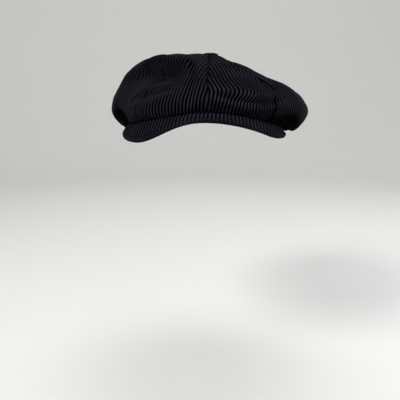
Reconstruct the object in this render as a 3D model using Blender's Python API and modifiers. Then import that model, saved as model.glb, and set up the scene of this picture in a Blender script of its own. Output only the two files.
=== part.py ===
"""Newsboy cap in wide-wale corduroy.

Eight crown panels meet under a covered button. A lining of eight gores, a band stay and a
sweatband follow the head opening, and a board between two covers makes the visor.

Frame: metres, +Z up. The front of the cap faces -Y. The origin is the centre of the head
opening, at the height of the hem. Azimuth is measured from the front (-Y) towards +X.
"""

import math

import bmesh
import bpy
from mathutils import Vector

# ---------------------------------------------------------------- driving dimensions, metres

CLEARANCE = 0.0003            # gap between two hard pieces that lie on each other
LAYER_GAP = 0.0007            # gap between two layers of cloth round the head opening
FACETS_PER_PANEL = 5
MERGE_DISTANCE = 0.00001      # joins the points of a turned solid that meet on its axis

# Head opening: an ellipse at the outside of the hem.
BAND_HALF_WIDTH = 0.0830
BAND_HALF_LENGTH = 0.1030
HEM_HEIGHT = 0.0005
TUCK_OUT = 0.0055             # the crown rises from the hem, then turns out over it
TUCK_HEIGHT = 0.0095
LIP_OUT = 0.0003
LIP_HEIGHT = 0.0050

# Crown.
PANELS = 8
PANEL_SKEW = math.radians(7.0)  # the seams lean this far towards the front and the back
CLOTH_THICKNESS = 0.0024
SEAM_GAP = 0.0007
SEAM_PULL = 0.0016            # how far the seams lie below the puff of the panels
SEAM_PULL_POWER = 6           # keeps that dip close to the seams
TIP_RADIUS = 0.0050           # the panels end here, round the button's shank
TIP_HEIGHT = 0.0610
SLOUCH = 0.0040               # the whole crown has slid this far to +X over the band
SLOUCH_FADE = (0.45, 0.74)    # the slide fades out between these shares of the way down
CROWN_STATIONS = {            # outer surface: (radius, height) from near the button to the belly
    "front": ((0.038, 0.0580), (0.072, 0.0500), (0.103, 0.0330), (0.1205, 0.0140), (0.1140, 0.0040)),
    "right": ((0.038, 0.0490), (0.071, 0.0335), (0.103, 0.0170), (0.1185, -0.0040), (0.1020, -0.0258)),
    "rear": ((0.042, 0.0600), (0.082, 0.0500), (0.113, 0.0280), (0.1270, -0.0020), (0.1120, -0.0230)),
    "left": ((0.045, 0.0640), (0.083, 0.0562), (0.108, 0.0325), (0.1180, -0.0030), (0.1030, -0.0200)),
}

# Lining, sweatband and stay stand inside the crown.
LINING_THICKNESS = 0.0006
LINING_DROP = 0.0055          # the lining hangs this far below the crown's outer surface
LINING_IN = 0.0040            # and this far inside it at the shoulder
LINING_TIP_RADIUS = 0.0060
LINING_BEND_OUT = 0.0015      # the lining's fullest point, outside the stay's radius
LINING_BEND_HEIGHT = 0.0245
LINING_SLIDE_SHARE = 0.50     # the lining follows the crown's slide only over this share from the top
STAY_THICKNESS = 0.0008
STAY_HEIGHT = 0.0150
SWEATBAND_THICKNESS = 0.0011
SWEATBAND_HEIGHT = 0.0220

# Button.
BUTTON_RADIUS = 0.0095
BUTTON_RISE = 0.0042
BUTTON_BASE_HEIGHT = 0.0620
BUTTON_SKIRT = 0.0008         # height of the upright rim under the dome
BUTTON_COVER_THICKNESS = 0.0014
BUTTON_SHELL_THICKNESS = 0.0005
BUTTON_BACK_THICKNESS = 0.0006
SHANK_RADIUS = 0.0014
WASHER_RADIUS = 0.0090
WASHER_THICKNESS = 0.0008
WASHER_DROP = 0.0016          # below the inside of the panels' tips, which slope away
RETAINER_RADIUS = 0.0042
RETAINER_THICKNESS = 0.0006

# Visor.
VISOR_SPAN = math.radians(62.0)       # azimuth of the sewn edge's ends
VISOR_ROOT_GAP = 0.0007
VISOR_ROOT_HEIGHT = -0.0034           # middle of the board at the front of the sewn edge
VISOR_ROOT_END_DROP = 0.0090
VISOR_HALF_WIDTH = 0.0882
VISOR_SHIFT = -0.0011                 # the outer edge has slid this far to -X
VISOR_CENTRE_Y = -0.0700
VISOR_REACH = 0.0820                  # from VISOR_CENTRE_Y to the front edge
VISOR_TURN = math.radians(106.0)      # how far round the outer edge runs
VISOR_FRONT_HEIGHT = -0.0077
VISOR_DROP = {"left": 0.0187, "right": 0.0241}    # the outer edge's fall from the front
VISOR_LOWEST = {"left": math.radians(51.0), "right": math.radians(76.0)}    # bearings there
VISOR_EDGE_BEND = 2.00                # power of the outer edge's fall
VISOR_EASE = 0.40                     # how much slower it rises again behind its lowest point
VISOR_BEND = 1.50                     # power of the drop towards the sides
VISOR_ARCH = 0.0012
VISOR_ROLL = math.radians(3.0)        # the visor hangs lower at -X
BOARD_THICKNESS = 0.0018
TOP_COVER_THICKNESS = 0.0013
UNDER_COVER_THICKNESS = 0.0010
VISOR_HINGE = (0.0, -0.0400, -0.0124)  # on the line through the sewn edge's two ends
BOARD_INSET = 0.0010                  # the board stops this far short of the cover's turned edge
UNDER_COVER_INSET = 0.0026            # and so does the under cover
WRAP_ANGLE = math.radians(140.0)      # how far the top cover turns round the board's edge
VISOR_SLOPE_STEP = 0.01               # step in turn and share for the surface's directions

# Blank label sewn to the lining behind the button.
LABEL_SIZE = (0.044, 0.024, 0.0005)
LABEL_Y = 0.0300
LABEL_DROP = 0.0040
LABEL_SHARE = 0.22            # share of the way down the lining at the label

FULL_TURN = 2.0 * math.pi
NARROWEST = 1.0 - 2.0 * PANEL_SKEW    # azimuth to an even turn, in front and behind
PANEL_ANGLE = FULL_TURN / PANELS
PANEL_NAMES = (
    "front_right", "side_front_right", "side_rear_right", "rear_right",
    "rear_left", "side_rear_left", "side_front_left", "front_left",
)

# colour, roughness, metallic
LOOKS = {
    "corduroy": ((0.012, 0.011, 0.017), 0.90, 0.0),
    "lining": ((0.022, 0.022, 0.030), 0.45, 0.0),
    "sweatband": ((0.016, 0.016, 0.018), 0.80, 0.0),
    "canvas": ((0.420, 0.390, 0.320), 0.90, 0.0),
    "board": ((0.050, 0.050, 0.055), 0.60, 0.0),
    "steel": ((0.560, 0.570, 0.580), 0.35, 1.0),
    "thread": ((0.015, 0.015, 0.020), 0.80, 0.0),
    "felt": ((0.060, 0.060, 0.065), 0.95, 0.0),
    "label": ((0.300, 0.290, 0.270), 0.70, 0.0),
}


# ---------------------------------------------------------------- scene helpers

def clear_scene():
    for obj in list(bpy.data.objects):
        bpy.data.objects.remove(obj, do_unlink=True)


def make_material(name):
    colour, roughness, metallic = LOOKS[name]
    material = bpy.data.materials.new(name)
    material.use_nodes = True
    shader = material.node_tree.nodes["Principled BSDF"]
    shader.inputs["Base Color"].default_value = (*colour, 1.0)
    shader.inputs["Roughness"].default_value = roughness
    shader.inputs["Metallic"].default_value = metallic
    return material


def add_object(name, mesh, collection, look):
    obj = bpy.data.objects.new(name, mesh)
    obj.data.materials.append(make_material(look))
    collection.objects.link(obj)
    return obj


def add_loft(name, rows, collection, look, closed=False):
    """Object from rows of points, each row as long as the others; closed joins a row's ends."""
    mesh = bpy.data.meshes.new(name)
    builder = bmesh.new()
    grid = [[builder.verts.new(point) for point in row] for row in rows]
    columns = len(rows[0])
    steps = columns if closed else columns - 1
    for upper, lower in zip(grid, grid[1:]):
        for column in range(steps):
            after = (column + 1) % columns
            builder.faces.new((upper[column], lower[column], lower[after], upper[after]))
    builder.to_mesh(mesh)
    builder.free()
    mesh.shade_smooth()
    return add_object(name, mesh, collection, look)


def add_thickness(obj, thickness):
    """Thicken an open surface towards the inside of the cap."""
    modifier = obj.modifiers.new("Thickness", "SOLIDIFY")
    modifier.thickness = thickness
    modifier.offset = -1.0
    modifier.use_even_offset = True


def add_turned(name, profile, location, collection, look, steps=24):
    """Solid turned about its own Z from a closed profile of (radius, height) points."""
    mesh = bpy.data.meshes.new(name)
    builder = bmesh.new()
    verts = [builder.verts.new((radius, 0.0, height)) for radius, height in profile]
    for first, second in zip(verts, verts[1:]):
        builder.edges.new((first, second))
    if profile[0][0] > 0.0:
        builder.edges.new((verts[-1], verts[0]))
    builder.to_mesh(mesh)
    builder.free()
    obj = add_object(name, mesh, collection, look)
    obj.location = location
    modifier = obj.modifiers.new("Turn", "SCREW")
    modifier.steps = steps
    modifier.render_steps = steps
    modifier.use_merge_vertices = True
    modifier.merge_threshold = MERGE_DISTANCE
    modifier.use_smooth_shade = True
    return obj


# ---------------------------------------------------------------- head opening and crown

def band_radius(azimuth, inset=0.0):
    """Radius of the head opening's ellipse, inset from the outside of the hem."""
    across = math.sin(azimuth) / (BAND_HALF_WIDTH - inset)
    along = math.cos(azimuth) / (BAND_HALF_LENGTH - inset)
    return 1.0 / math.hypot(across, along)


def polar(azimuth, radius, height):
    return Vector((radius * math.sin(azimuth), -radius * math.cos(azimuth), height))


def seam_azimuth(turn):
    """Azimuth at an even turn round the panels, which are narrower in front and behind."""
    return turn - PANEL_SKEW * math.sin(2.0 * turn)


def blended_stations(azimuth):
    """Crown stations at an azimuth, from the four profiles weighted by squared cosines."""
    ahead = math.cos(azimuth)
    aside = math.sin(azimuth)
    lengthwise = "front" if ahead >= 0.0 else "rear"
    sideways = "right" if aside >= 0.0 else "left"
    pairs = zip(CROWN_STATIONS[lengthwise], CROWN_STATIONS[sideways])
    return [
        (ahead * ahead * a[0] + aside * aside * b[0], ahead * ahead * a[1] + aside * aside * b[1])
        for a, b in pairs
    ]


def smooth_through(points, share):
    """Point at a share of the way along a uniform Catmull-Rom curve through the points."""
    scaled = share * (len(points) - 1)
    index = min(int(scaled), len(points) - 2)
    t = scaled - index
    before = points[max(index - 1, 0)]
    start = points[index]
    end = points[index + 1]
    after = points[min(index + 2, len(points) - 1)]
    return tuple(
        0.5 * (2.0 * b + (c - a) * t + (2.0 * a - 5.0 * b + 4.0 * c - d) * t ** 2
               + (3.0 * b - a - 3.0 * c + d) * t ** 3)
        for a, b, c, d in zip(before, start, end, after)
    )


def slide(share):
    """The crown's sideways slide at a share of the way from button to hem."""
    start, end = SLOUCH_FADE
    fade = min(max((share - start) / (end - start), 0.0), 1.0)
    return Vector((SLOUCH * (1.0 - fade * fade * (3.0 - 2.0 * fade)), 0.0, 0.0))


def crown_point(turn, share):
    """Outer surface of the crown; share runs from 0 at the button to 1 at the hem."""
    azimuth = seam_azimuth(turn)
    hem = band_radius(azimuth)
    stations = [(TIP_RADIUS, TIP_HEIGHT)]
    stations += blended_stations(azimuth)
    stations += [(hem + TUCK_OUT, TUCK_HEIGHT), (hem + LIP_OUT, LIP_HEIGHT), (hem, HEM_HEIGHT)]
    radius, height = smooth_through(stations, share)
    pull = abs(math.cos(0.5 * PANELS * turn)) ** SEAM_PULL_POWER * math.sin(math.pi * share) * SEAM_PULL
    return polar(azimuth, radius - pull, height - 0.5 * pull) + slide(share)


def gore_rows(surface, panel, rows):
    """Grid over one of the eight sectors, half a gap short of the seams on both sides."""
    start = panel * PANEL_ANGLE
    grid = []
    for row in range(rows + 1):
        share = row / rows
        middle = surface(start + 0.5 * PANEL_ANGLE, share)
        trim = 0.5 * SEAM_GAP / NARROWEST / max(math.hypot(middle.x, middle.y), TIP_RADIUS)
        width = PANEL_ANGLE - 2.0 * trim
        turns = [start + trim + width * facet / FACETS_PER_PANEL for facet in range(FACETS_PER_PANEL + 1)]
        grid.append([surface(turn, share) for turn in turns])
    return grid


def build_crown(collection):
    for panel, side in enumerate(PANEL_NAMES):
        rows = gore_rows(crown_point, panel, rows=22)
        obj = add_loft("crown_panel_" + side, rows, collection, "corduroy")
        add_thickness(obj, CLOTH_THICKNESS)


# ---------------------------------------------------------------- lining, stay and sweatband

STAY_INSET = CLOTH_THICKNESS + LAYER_GAP
LINING_INSET = STAY_INSET + STAY_THICKNESS + LAYER_GAP
SWEATBAND_INSET = LINING_INSET + LINING_THICKNESS + LAYER_GAP


def lining_point(turn, share):
    """Outer face of the lining, from the button down to the hem inside the stay."""
    azimuth = seam_azimuth(turn)
    crest, shoulder, flank = blended_stations(azimuth)[:3]
    edge = band_radius(azimuth, LINING_INSET)
    stations = [
        (LINING_TIP_RADIUS, TIP_HEIGHT - LINING_DROP),
        (crest[0], crest[1] - LINING_DROP),
        (shoulder[0] - LINING_IN, shoulder[1] - LINING_DROP),
        (min(flank[0] - LINING_IN, edge + LINING_BEND_OUT), LINING_BEND_HEIGHT),
        (edge, STAY_HEIGHT + LAYER_GAP),
        (edge, 0.5 * STAY_HEIGHT),
        (edge, HEM_HEIGHT),
    ]
    radius, height = smooth_through(stations, share)
    shift = Vector((SLOUCH * max(0.0, 1.0 - share / LINING_SLIDE_SHARE), 0.0, 0.0))
    return polar(azimuth, radius, height) + shift


def build_lining(collection):
    for panel, side in enumerate(PANEL_NAMES):
        rows = gore_rows(lining_point, panel, rows=12)
        obj = add_loft("lining_gore_" + side, rows, collection, "lining")
        add_thickness(obj, LINING_THICKNESS)


def build_band(name, inset, thickness, height, collection, look):
    """Upright strip round the head opening."""
    facets = PANELS * FACETS_PER_PANEL
    azimuths = [seam_azimuth(FULL_TURN * facet / facets) for facet in range(facets)]
    rows = []
    for level in (height, HEM_HEIGHT):
        rows.append([polar(azimuth, band_radius(azimuth, inset), level) for azimuth in azimuths])
    obj = add_loft(name, rows, collection, look, closed=True)
    add_thickness(obj, thickness)


def build_label(collection):
    anchor = lining_point(math.pi, LABEL_SHARE)
    mesh = bpy.data.meshes.new("label")
    builder = bmesh.new()
    bmesh.ops.create_cube(builder, size=1.0)
    bmesh.ops.scale(builder, vec=LABEL_SIZE, verts=builder.verts)
    builder.to_mesh(mesh)
    builder.free()
    obj = add_object("label", mesh, collection, "label")
    obj.location = (anchor.x, LABEL_Y, anchor.z - LABEL_DROP)


# ---------------------------------------------------------------- button

def dome_profile(radius, rise, thickness, skirt, steps=6):
    """Closed section of a dome shell: outer side from the top down, then back up inside."""
    angles = [0.5 * math.pi * step / steps for step in range(steps + 1)]
    outer = [(radius * math.sin(angle), rise * math.cos(angle)) for angle in angles]
    inner_radius = radius - thickness
    inner_rise = rise - thickness
    inner = [(inner_radius * math.sin(angle), inner_rise * math.cos(angle)) for angle in reversed(angles)]
    return outer + [(radius, -skirt), (inner_radius, -skirt)] + inner


def disc_profile(radius, thickness, bore=0.0):
    if bore:
        return [(bore, thickness), (radius, thickness), (radius, 0.0), (bore, 0.0)]
    return [(0.0, thickness), (radius, thickness), (radius, 0.0), (0.0, 0.0)]


def build_button(collection):
    pivot = bpy.data.objects.new("button_axis", None)
    pivot.location = (SLOUCH, 0.0, BUTTON_BASE_HEIGHT)
    collection.objects.link(pivot)

    shell_radius = BUTTON_RADIUS - BUTTON_COVER_THICKNESS - CLEARANCE
    shell_rise = BUTTON_RISE - BUTTON_COVER_THICKNESS - CLEARANCE
    back_radius = shell_radius - BUTTON_SHELL_THICKNESS - CLEARANCE
    washer_height = TIP_HEIGHT - CLOTH_THICKNESS - WASHER_DROP - WASHER_THICKNESS
    retainer_height = washer_height - CLEARANCE - RETAINER_THICKNESS
    skirt = BUTTON_SKIRT

    cover = add_turned(
        "button_cover", dome_profile(BUTTON_RADIUS, BUTTON_RISE, BUTTON_COVER_THICKNESS, skirt),
        (0, 0, skirt), collection, "corduroy")
    shell = add_turned(
        "button_shell", dome_profile(shell_radius, shell_rise, BUTTON_SHELL_THICKNESS, skirt),
        (0, 0, skirt), collection, "steel")
    back = add_turned(
        "button_back_plate", disc_profile(back_radius, BUTTON_BACK_THICKNESS, SHANK_RADIUS + CLEARANCE),
        (0, 0, 0), collection, "steel")
    shank_top = BUTTON_BACK_THICKNESS + CLEARANCE
    shank_bottom = retainer_height + RETAINER_THICKNESS + CLEARANCE - BUTTON_BASE_HEIGHT
    shank = add_turned(
        "button_shank", disc_profile(SHANK_RADIUS, shank_top - shank_bottom),
        (0, 0, shank_bottom), collection, "thread", steps=16)
    retainer = add_turned(
        "button_retainer", disc_profile(RETAINER_RADIUS, RETAINER_THICKNESS),
        (0, 0, retainer_height - BUTTON_BASE_HEIGHT), collection, "thread", steps=16)
    for piece in (cover, shell, back, shank, retainer):
        piece.parent = pivot

    add_turned(
        "button_washer", disc_profile(WASHER_RADIUS, WASHER_THICKNESS, SHANK_RADIUS + 2.0 * CLEARANCE),
        (SLOUCH, 0, washer_height), collection, "felt")


# ---------------------------------------------------------------- visor

def visor_middle(turn, share):
    """Middle surface of the visor's board.

    turn runs from -1 to 1 along the visor, share from 0 at the sewn edge to 1 at the outer edge.
    """
    azimuth = turn * VISOR_SPAN
    root = polar(azimuth, band_radius(azimuth) + VISOR_ROOT_GAP, 0.0)
    root.z = VISOR_ROOT_HEIGHT - VISOR_ROOT_END_DROP * abs(turn) ** VISOR_BEND
    bearing = turn * VISOR_TURN
    side = "right" if turn > 0.0 else "left"
    past = max(abs(bearing) - VISOR_LOWEST[side], 0.0)
    phase = 0.25 * FULL_TURN * (abs(bearing) - VISOR_EASE * past) / VISOR_LOWEST[side]
    fall = VISOR_DROP[side] * math.sin(phase) ** VISOR_EDGE_BEND
    edge = Vector((
        VISOR_HALF_WIDTH * math.sin(bearing) + VISOR_SHIFT,
        VISOR_CENTRE_Y - VISOR_REACH * math.cos(bearing),
        VISOR_FRONT_HEIGHT - fall,
    ))
    point = root.lerp(edge, share)
    point.z += VISOR_ARCH * math.sin(math.pi * share)
    point.z += math.tan(VISOR_ROLL) * point.x * share
    return point


def visor_frame(turn, share):
    """Point of the visor's middle surface, with its upward normal and its outward direction."""
    step = VISOR_SLOPE_STEP
    inner = max(share - step, 0.0)
    outer = min(share + step, 1.0)
    outward = (visor_middle(turn, outer) - visor_middle(turn, inner)).normalized()
    left = max(turn - step, -1.0)
    right = min(turn + step, 1.0)
    along = (visor_middle(right, share) - visor_middle(left, share)).normalized()
    return visor_middle(turn, share), along.cross(-outward).normalized(), outward


def visor_turns(columns=20):
    return [2.0 * column / columns - 1.0 for column in range(columns + 1)]


def visor_layer_rows(height, inset, rows=5):
    """Sheet parallel to the middle surface, from the sewn edge out to the outer edge less an inset."""
    grid = []
    for row in range(rows + 1):
        share = row / rows
        line = []
        for turn in visor_turns():
            point, normal, outward = visor_frame(turn, share)
            line.append(point + normal * height - outward * inset * share)
        grid.append(line)
    return grid


def visor_wrap_rows(radius, steps=5):
    """Rows that carry the top cover from the top round the board's edge to underneath."""
    grid = []
    for step in range(1, steps + 1):
        angle = WRAP_ANGLE * step / steps
        line = []
        for turn in visor_turns():
            point, normal, outward = visor_frame(turn, 1.0)
            forward = radius * (math.sin(angle) - 1.0)
            line.append(point + outward * forward + normal * radius * math.cos(angle))
        grid.append(line)
    return grid


def build_visor(collection):
    half_board = 0.5 * BOARD_THICKNESS
    wrap = half_board + CLEARANCE + TOP_COVER_THICKNESS
    board = add_loft(
        "visor_board", visor_layer_rows(half_board, wrap + BOARD_INSET), collection, "board")
    add_thickness(board, BOARD_THICKNESS)
    cover_rows = visor_layer_rows(wrap, wrap) + visor_wrap_rows(wrap)
    cover = add_loft("visor_top_cover", cover_rows, collection, "corduroy")
    add_thickness(cover, TOP_COVER_THICKNESS)
    under = add_loft(
        "visor_under_cover",
        visor_layer_rows(-half_board - LAYER_GAP, wrap + UNDER_COVER_INSET), collection, "corduroy")
    add_thickness(under, UNDER_COVER_THICKNESS)
    hinge = bpy.data.objects.new("visor_axis", None)
    hinge.location = VISOR_HINGE
    collection.objects.link(hinge)
    for piece in (board, cover, under):
        piece.parent = hinge
        piece.matrix_parent_inverse.translation = -hinge.location


# ---------------------------------------------------------------- assembly

def main():
    clear_scene()
    collection = bpy.data.collections.new("newsboy_cap")
    bpy.context.scene.collection.children.link(collection)
    build_crown(collection)
    build_lining(collection)
    build_band("band_stay", STAY_INSET, STAY_THICKNESS, STAY_HEIGHT, collection, "canvas")
    build_band("sweatband", SWEATBAND_INSET, SWEATBAND_THICKNESS, SWEATBAND_HEIGHT, collection, "sweatband")
    build_label(collection)
    build_button(collection)
    build_visor(collection)


main()
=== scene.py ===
"""Looks of a corduroy newsboy cap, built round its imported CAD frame.

Metres, +Z up, the front of the cap towards -Y. Azimuth runs from the front towards +X. A crown
panel is a fine grid over a lofted crown surface; its wales are real ridges that run parallel to
the panel's middle line, as in cloth cut along the wale.
"""
import math

import bpy
import numpy as np
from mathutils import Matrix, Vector


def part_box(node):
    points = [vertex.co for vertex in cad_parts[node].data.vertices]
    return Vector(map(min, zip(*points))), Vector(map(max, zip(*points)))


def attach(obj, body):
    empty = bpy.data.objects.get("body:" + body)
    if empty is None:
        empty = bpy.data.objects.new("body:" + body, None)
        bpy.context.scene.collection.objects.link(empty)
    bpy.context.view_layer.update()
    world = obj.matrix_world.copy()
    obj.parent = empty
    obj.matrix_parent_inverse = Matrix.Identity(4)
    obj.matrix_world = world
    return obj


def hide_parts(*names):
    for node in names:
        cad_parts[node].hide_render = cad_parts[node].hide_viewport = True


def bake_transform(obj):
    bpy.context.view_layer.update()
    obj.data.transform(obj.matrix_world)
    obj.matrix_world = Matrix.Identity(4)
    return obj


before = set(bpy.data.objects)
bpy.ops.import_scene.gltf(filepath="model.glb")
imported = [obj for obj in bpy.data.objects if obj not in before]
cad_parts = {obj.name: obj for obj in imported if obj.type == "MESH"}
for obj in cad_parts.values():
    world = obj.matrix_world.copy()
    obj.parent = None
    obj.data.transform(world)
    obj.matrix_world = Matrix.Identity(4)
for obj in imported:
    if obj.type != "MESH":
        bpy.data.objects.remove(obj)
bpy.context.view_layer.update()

MM = 0.001

# ---- frame

SIDES = (
    "front_right", "side_front_right", "side_rear_right", "rear_right",
    "rear_left", "side_rear_left", "side_front_left", "front_left",
)
PANEL_ANGLE = math.tau / len(SIDES)
PANEL_SKEW = math.radians(7.0)  # the seams lean this far to the front and the back


def node_box(*nodes):
    """Lowest and highest corner of several CAD nodes together."""
    boxes = [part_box(node) for node in nodes]
    return np.min([box[0] for box in boxes], axis=0), np.max([box[1] for box in boxes], axis=0)


crown_lo, crown_hi = node_box(*("crown_panel_" + side for side in SIDES))
button_lo, button_hi = node_box("button_cover")
stay_lo, stay_hi = node_box("band_stay")
sweat_lo, sweat_hi = node_box("sweatband")
visor_lo, visor_hi = node_box("visor_top_cover")

AXIS_X = 0.5 * (button_lo[0] + button_hi[0])  # the crown has slid this far over the band
CLOTH = 2.4 * MM
HEM_OUT = CLOTH + 0.7 * MM  # from the stay's outside to the hem's
HEM_HALF = (stay_hi[0] + HEM_OUT, stay_hi[1] + HEM_OUT)
HEM_HEIGHT = stay_lo[2]
TOP = crown_hi[2]
TIP_RADIUS = 5.0 * MM
TIP_HEIGHT = button_lo[2] - 1.0 * MM

RIM = {
    "front": -crown_lo[1],
    "right": crown_hi[0] - AXIS_X,
    "rear": crown_hi[1],
    "left": AXIS_X - crown_lo[0],
}
LOWEST_PANELS = {"right": "side_front_right", "rear": "rear_left", "left": "side_front_left"}
DROOP = {side: -node_box("crown_panel_" + panel)[0][2] for side, panel in LOWEST_PANELS.items()}

# Crown profile: radius as a share of the rim's, height in shares of the crown's top, or of the
# droop where it is negative. The points run from the button over the rim to the belly.
PROFILE = {
    "front": ((0.32, 0.92), (0.61, 0.79), (0.87, 0.52), (1.00, 0.21), (0.96, 0.03)),
    "right": ((0.32, 0.79), (0.60, 0.54), (0.87, 0.27), (1.00, -0.15), (0.86, -1.00)),
    "rear": ((0.33, 0.95), (0.65, 0.80), (0.90, 0.44), (1.00, -0.09), (0.88, -1.00)),
    "left": ((0.38, 1.01), (0.70, 0.89), (0.91, 0.52), (1.00, -0.15), (0.87, -1.00)),
}
TUCK_OUT, TUCK_HEIGHT = 5.5 * MM, 9.5 * MM
LIP_OUT, LIP_HEIGHT = 0.3 * MM, 5.0 * MM
SLIDE_FADE = (0.45, 0.74)
OVER_VISOR = (math.radians(58.0), math.radians(70.0))  # the visor's ends, as the crown sees them
BELLY_SAG = 6.0 * MM  # over the visor the belly sinks until it rests there
HEM_SAG = 1.2 * MM


# ---- crown surface

def ramp(value, start, end):
    """0 before start, 1 after end, smooth between them."""
    t = np.clip((value - start) / (end - start), 0.0, 1.0)
    return t * t * (3.0 - 2.0 * t)


def seam_azimuth(turn):
    """Azimuth at an even turn round the panels, which are narrower in front and behind."""
    return turn - PANEL_SKEW * np.sin(2.0 * turn)


def unit(vectors):
    return vectors / np.maximum(np.linalg.norm(vectors, axis=-1, keepdims=True), 1e-9)


def travelled(points, axis=0):
    """Distance from the first point along a line of points, or along a grid's rows or columns."""
    total = np.cumsum(np.linalg.norm(np.diff(points, axis=axis), axis=-1), axis=axis)
    return np.concatenate((np.zeros_like(total.take([0], axis)), total), axis=axis)


def hem_radius(azimuth, inset=0.0):
    across = np.sin(azimuth) / (HEM_HALF[0] - inset)
    along = np.cos(azimuth) / (HEM_HALF[1] - inset)
    return 1.0 / np.hypot(across, along)


def station_table(side):
    """A side's profile in metres."""
    return np.array([
        (radius * RIM[side], height * (TOP if height >= 0.0 else DROOP[side]))
        for radius, height in PROFILE[side]
    ])


SIDE_TABLES = {side: station_table(side) for side in PROFILE}


def station(azimuth, radius, height):
    """Radius and height of one station at each azimuth."""
    return np.stack(np.broadcast_arrays(radius, height, azimuth)[:2], axis=1)


def crown_stations(azimuth):
    """Stations (station, point, radius and height) from the button's edge to the hem."""
    ahead, aside = np.cos(azimuth), np.sin(azimuth)
    lengthwise = np.where((ahead >= 0.0)[:, None, None], SIDE_TABLES["front"], SIDE_TABLES["rear"])
    sideways = np.where((aside >= 0.0)[:, None, None], SIDE_TABLES["right"], SIDE_TABLES["left"])
    mixed = lengthwise * (ahead ** 2)[:, None, None] + sideways * (aside ** 2)[:, None, None]
    hem = hem_radius(azimuth)
    over_visor = 1.0 - ramp(np.abs(wrapped(azimuth)), *OVER_VISOR)
    mixed[:, -1, 1] -= BELLY_SAG * over_visor
    return np.stack([
        station(azimuth, TIP_RADIUS, TIP_HEIGHT),
        *mixed.swapaxes(0, 1),
        station(azimuth, hem + TUCK_OUT, TUCK_HEIGHT),
        station(azimuth, hem + LIP_OUT, LIP_HEIGHT),
        station(azimuth, hem, HEM_HEIGHT - HEM_SAG * over_visor),
    ])


def wrapped(azimuth):
    """Azimuth in the range from -pi to pi."""
    return (azimuth + math.pi) % math.tau - math.pi


def spline(stations, along):
    """Uniform Catmull-Rom curve through the stations, at along in shares of their number."""
    last = len(stations) - 1
    scaled = np.clip(along, 0.0, 1.0) * last
    index = np.minimum(scaled.astype(int), last - 1)
    t = (scaled - index)[:, None]
    column = np.arange(len(along))
    a = stations[np.maximum(index - 1, 0), column]
    b = stations[index, column]
    c = stations[index + 1, column]
    d = stations[np.minimum(index + 2, last), column]
    square, cube = 2 * a - 5 * b + 4 * c - d, 3 * b - a - 3 * c + d
    return 0.5 * (2 * b + (c - a) * t + square * t ** 2 + cube * t ** 3)


def polar_points(azimuth, radius, height, shift=0.0):
    side, ahead = radius * np.sin(azimuth) + shift, -radius * np.cos(azimuth)
    return np.stack(np.broadcast_arrays(side, ahead, height), axis=-1)


def even_travel(steps=400, sides=16):
    """Share of the cloth's length at each share of the stations, averaged round the crown."""
    along = np.linspace(0.0, 1.0, steps)
    total = np.zeros(steps)
    for turn in np.linspace(0.0, math.tau, sides, endpoint=False):
        azimuth = np.full(steps, turn)
        point = spline(crown_stations(azimuth), along)
        length = travelled(point)
        total += length / length[-1]
    return total / sides, along


TRAVEL, ALONG = even_travel()
CROWN_LENGTH = 0.205  # cloth from button to hem, on average


def smooth_crown(azimuth, share):
    """Crown surface with no folds; share is the share of the way from the button to the hem."""
    along = np.interp(share, TRAVEL, ALONG)
    point = spline(crown_stations(azimuth), along)
    shift = AXIS_X * (1.0 - ramp(along, *SLIDE_FADE))
    return polar_points(azimuth, *point.T, shift)


# ---- visor surface

VISOR_SPAN = math.radians(62.0)
VISOR_TURN = math.radians(106.0)
VISOR_HALF = 0.5 * (visor_hi[0] - visor_lo[0]) - 0.3 * MM
VISOR_SHIFT = 0.5 * (visor_hi[0] + visor_lo[0])  # the outer edge has slid this far over
VISOR_FRONT = visor_lo[1]
VISOR_CENTRE_Y = 0.46 * VISOR_FRONT
VISOR_REACH = VISOR_CENTRE_Y - VISOR_FRONT
VISOR_FRONT_HEIGHT = -7.7 * MM
VISOR_DROP = (18.7 * MM, 24.1 * MM)  # the outer edge's fall to the left and the right
VISOR_LOWEST = (math.radians(51.0), math.radians(76.0))  # bearings of its lowest points there
VISOR_EDGE_BEND = 2.0
VISOR_EASE = 0.40  # how much slower it rises again behind them
VISOR_ROOT_GAP = 0.7 * MM  # from the hem out to the sewn edge
VISOR_ROOT = (-3.4 * MM, 9.0 * MM)  # the sewn edge's height in front, and its fall
VISOR_BEND = 1.5
VISOR_ARCH = 1.2 * MM
VISOR_ROLL = math.radians(3.0)
VISOR_COLUMNS = 420
VISOR_ROWS = 44
EDGE_STEPS = 14  # round the rolled edge
STITCH_IN = 3.6 * MM  # from the outer edge to the row of stitches
EDGE_RADIUS = 2.3 * MM
HEM_UNDER = 1.9 * MM  # the top cover ends this far past its roll, underneath
HEM_UNDER_RISE = 0.3 * MM
VISOR_SLOPE_STEP = 0.004  # step in turn and share for the surface's directions


def visor_middle(turn, share):
    """Middle of the visor's board; turn -1..1 along it, share 0 at the sewn edge to 1 outside."""
    azimuth = turn * VISOR_SPAN
    root_height = VISOR_ROOT[0] - VISOR_ROOT[1] * np.abs(turn) ** VISOR_BEND
    root = polar_points(azimuth, hem_radius(azimuth) + VISOR_ROOT_GAP, root_height)
    bearing = turn * VISOR_TURN
    drop, lowest = (np.where(turn > 0.0, right, left) for left, right in (VISOR_DROP, VISOR_LOWEST))
    past = np.maximum(np.abs(bearing) - lowest, 0.0)
    fall = np.sin(0.5 * math.pi * (np.abs(bearing) - VISOR_EASE * past) / lowest)
    edge = np.stack((
        VISOR_HALF * np.sin(bearing) + VISOR_SHIFT, VISOR_CENTRE_Y - VISOR_REACH * np.cos(bearing),
        VISOR_FRONT_HEIGHT - drop * fall ** VISOR_EDGE_BEND), axis=-1)
    point = root + (edge - root) * np.asarray(share)[..., None]
    point[..., 2] += VISOR_ARCH * np.sin(math.pi * share) + math.tan(VISOR_ROLL) * point[..., 0] * share
    return point


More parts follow.
